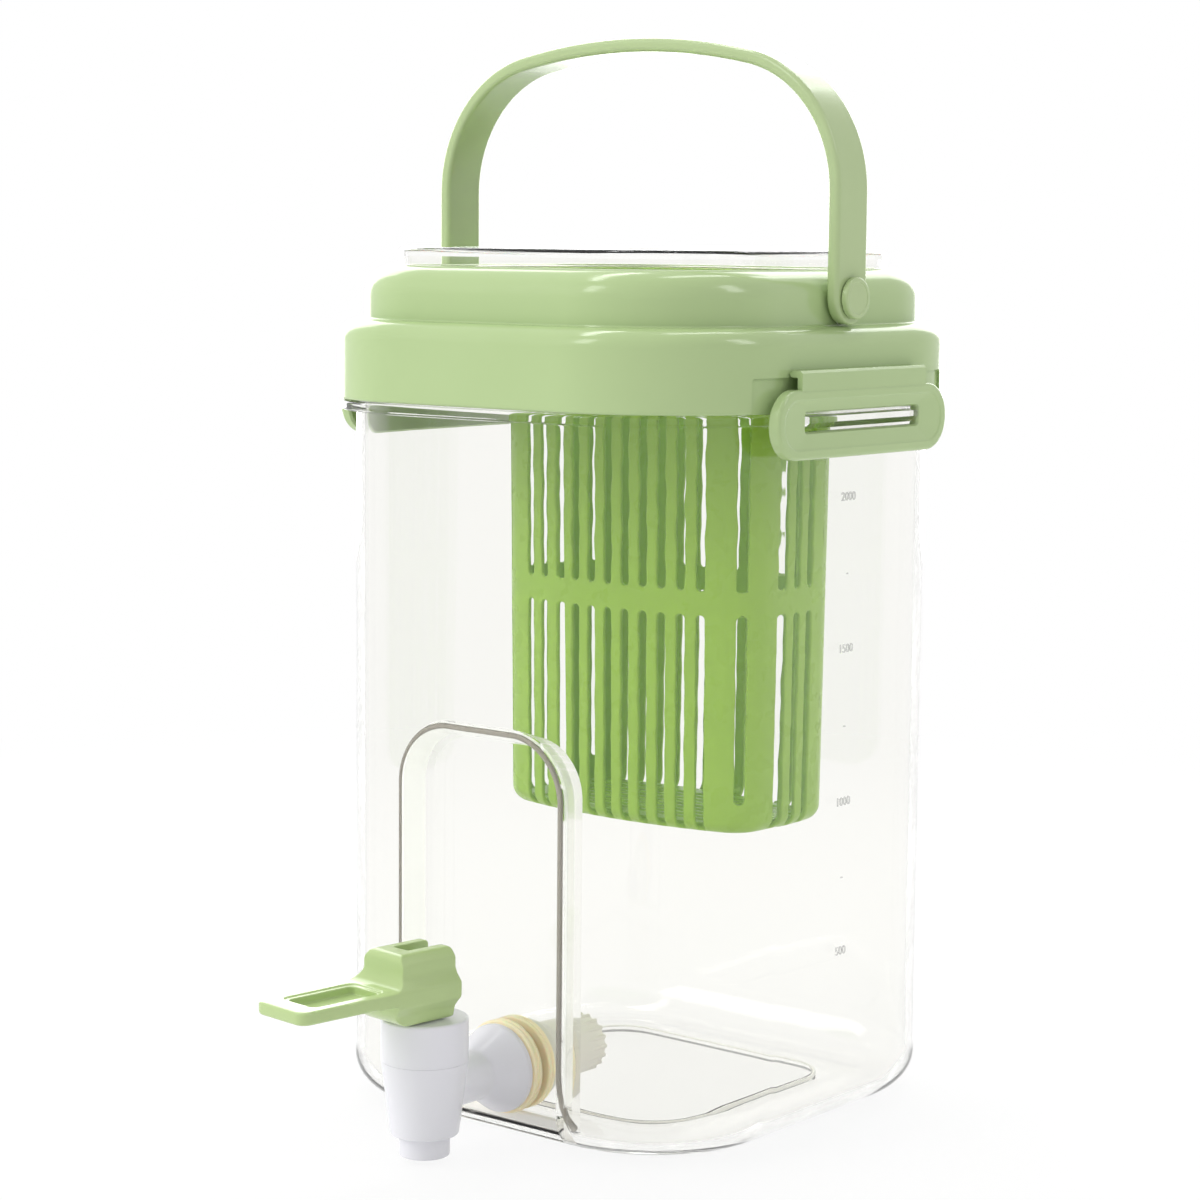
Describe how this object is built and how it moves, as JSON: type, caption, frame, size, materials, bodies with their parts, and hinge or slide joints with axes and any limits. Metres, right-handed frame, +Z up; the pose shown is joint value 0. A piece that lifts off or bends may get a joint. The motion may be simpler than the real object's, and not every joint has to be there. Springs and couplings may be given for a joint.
{
  "type": "drink dispenser",
  "caption": "Clear square drink dispenser with a green lid, swinging carry handle, side clasps, hanging strainer basket and a lever tap in a front recess.",
  "frame": {"origin": "on the ground plane, under the middle of the object's outline, tap included", "axes": "+Z up, -Y to the front where the tap and its lever are, +X to the right clasp"},
  "size_m": [0.1404, 0.1954, 0.2685],
  "materials": {
    "clear_plastic": "clear, polished",
    "lid_green": "moulded, satin gloss",
    "basket_green": "moulded, satin",
    "lever_green": "moulded, satin",
    "white_plastic": "moulded, satin",
    "silicone": "soft, matte",
    "steel": "drawn wire"
  },
  "bodies": {
    "vessel": {"container": "clear_plastic", "lid_ring": "lid_green", "lid_gasket": "silicone", "cap_gasket": "silicone", "strainer_basket": "basket_green", "handle_pin_right": "lid_green", "handle_pin_left": "lid_green", "tap_body": "white_plastic", "tap_bonnet": "white_plastic", "tap_spring": "steel", "outer_washer": "silicone", "inner_washer": "silicone", "tap_nut": "white_plastic"},
    "cap": {"top_cap": "clear_plastic"},
    "bail": {"handle": "lid_green"},
    "clasp_r": {"clasp_right": "lid_green"},
    "clasp_l": {"clasp_left": "lid_green"},
    "stem": {"tap_stem": "white_plastic", "valve_plug": "silicone", "stem_ring": "silicone", "lever_pin": "steel"},
    "lever": {"tap_lever": "lever_green"}
  },
  "joints": [
    {"name": "handle_swing", "type": "hinge", "parent": "vessel", "child": "bail", "pos_m": [0, 0.03128, 0.2053], "axis": [1, 0, 0], "range_deg": [-76, 76]},
    {"name": "cap_lift", "type": "slide", "parent": "vessel", "child": "cap", "axis": [0, 0, 1], "range_m": [0, 0.025]},
    {"name": "clasp_right_open", "type": "hinge", "parent": "vessel", "child": "clasp_r", "pos_m": [0.0671, 0.03128, 0.1881], "axis": [0, -1, 0], "range_deg": [0, 90]},
    {"name": "clasp_left_open", "type": "hinge", "parent": "vessel", "child": "clasp_l", "pos_m": [-0.0671, 0.03128, 0.1881], "axis": [0, 1, 0], "range_deg": [0, 90]},
    {"name": "stem_lift", "type": "slide", "parent": "vessel", "child": "stem", "axis": [0, 0, 1], "range_m": [0, 0.0033], "deforming": ["tap_spring"]},
    {"name": "lever_press", "type": "hinge", "parent": "stem", "child": "lever", "pos_m": [0.003, -0.05302, 0.044], "axis": [0.9936, -0.1132, 0], "range_deg": [0, 20], "stiffness_Nm_per_rad": 0.06, "springref_deg": -20.63}
  ],
  "couplings": [
    {"joint": "stem_lift", "follows": "lever_press", "m_per_rad": 0.0092}
  ]
}
